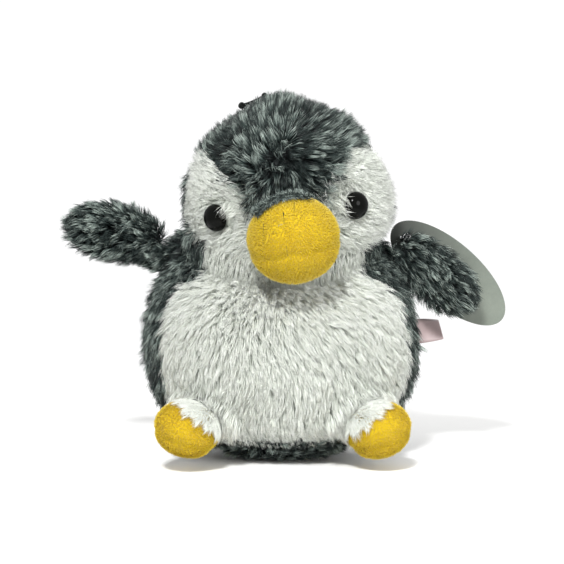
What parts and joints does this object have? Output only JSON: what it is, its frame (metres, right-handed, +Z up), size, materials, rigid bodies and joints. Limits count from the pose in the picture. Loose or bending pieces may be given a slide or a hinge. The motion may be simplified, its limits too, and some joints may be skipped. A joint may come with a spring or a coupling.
{
  "type": "plush penguin",
  "caption": "Small standing plush penguin with long charcoal and white pile, a stuffed yellow beak and feet, flippers that flap and a head that tilts.",
  "frame": {"origin": "centre of the flat base, on the surface the toy stands on", "axes": "+Z up, the penguin faces -Y, its own left is +X"},
  "size_m": [0.18, 0.1105, 0.1458],
  "materials": {
    "charcoal_fur": "long frosted pile, satin",
    "white_fur": "long silky pile, satin",
    "yellow_plush": "short velour pile, matt",
    "filling": "loose polyester fibre",
    "pouch_cloth": "thin woven cloth",
    "eye_plastic": "high gloss",
    "washer_plastic": "matt moulded",
    "tag_card": "laminated card, satin",
    "nylon": "translucent nylon",
    "label_tape": "satin tape",
    "black_cord": "braided cord, matt"
  },
  "bodies": {
    "torso": {"belly_panel": "white_fur", "side_panel_left": "charcoal_fur", "side_panel_right": "charcoal_fur", "back_panel": "charcoal_fur", "base_panel": "charcoal_fur", "body_filling": "filling", "pellet_pouch": "pouch_cloth", "tag_fastener": "nylon"},
    "head": {"head_gusset": "charcoal_fur", "face_panel_left": "white_fur", "face_panel_right": "white_fur", "head_back_left": "charcoal_fur", "head_back_right": "charcoal_fur", "head_filling": "filling", "beak_upper": "yellow_plush", "beak_lower": "yellow_plush", "beak_filling": "filling", "eye_left": "eye_plastic", "eye_right": "eye_plastic", "eye_washer_left": "washer_plastic", "eye_washer_right": "washer_plastic", "hanging_loop": "black_cord"},
    "flipper_left": {"flipper_left_front": "charcoal_fur", "flipper_left_back": "charcoal_fur", "flipper_left_filling": "filling"},
    "flipper_right": {"flipper_right_front": "charcoal_fur", "flipper_right_back": "charcoal_fur", "flipper_right_filling": "filling"},
    "foot_left": {"foot_left_upper": "yellow_plush", "foot_left_sole": "yellow_plush", "foot_left_filling": "filling"},
    "foot_right": {"foot_right_upper": "yellow_plush", "foot_right_sole": "yellow_plush", "foot_right_filling": "filling"},
    "tag": {"hang_tag": "tag_card"},
    "label": {"sewn_label": "label_tape"}
  },
  "joints": [
    {"name": "head_tilt", "type": "hinge", "parent": "torso", "child": "head", "pos_m": [0, 0, 0.086], "axis": [0, 0.9205, 0.3907], "range_deg": [-6, 14], "stiffness_Nm_per_rad": 0.6},
    {"name": "flipper_left_flap", "type": "hinge", "parent": "torso", "child": "flipper_left", "pos_m": [0.0478, 0.005, 0.0855], "axis": [-0.3746, -0.9272, 0], "range_deg": [0, 46], "stiffness_Nm_per_rad": 0.04},
    {"name": "flipper_right_flap", "type": "hinge", "parent": "torso", "child": "flipper_right", "pos_m": [-0.0478, 0.005, 0.0855], "axis": [-0.0698, 0.9976, 0], "range_deg": [-48, 32], "stiffness_Nm_per_rad": 0.04},
    {"name": "foot_left_tilt", "type": "hinge", "parent": "torso", "child": "foot_left", "pos_m": [0.0349, -0.0305, 0.0229], "axis": [-1, 0, 0], "range_deg": [0, 8], "stiffness_Nm_per_rad": 0.05},
    {"name": "foot_right_tilt", "type": "hinge", "parent": "torso", "child": "foot_right", "pos_m": [-0.0381, -0.0295, 0.0235], "axis": [-1, 0, 0], "range_deg": [0, 8], "stiffness_Nm_per_rad": 0.05},
    {"name": "hang_tag_swing", "type": "hinge", "parent": "torso", "child": "tag", "pos_m": [0.05202, 0.0145, 0.08746], "axis": [0, -1, 0], "range_deg": [0, 60]},
    {"name": "sewn_label_flex", "type": "hinge", "parent": "torso", "child": "label", "pos_m": [0.05294, 0.00885, 0.04907], "axis": [0, 0, 1], "range_deg": [-30, 30], "stiffness_Nm_per_rad": 0.004}
  ]
}
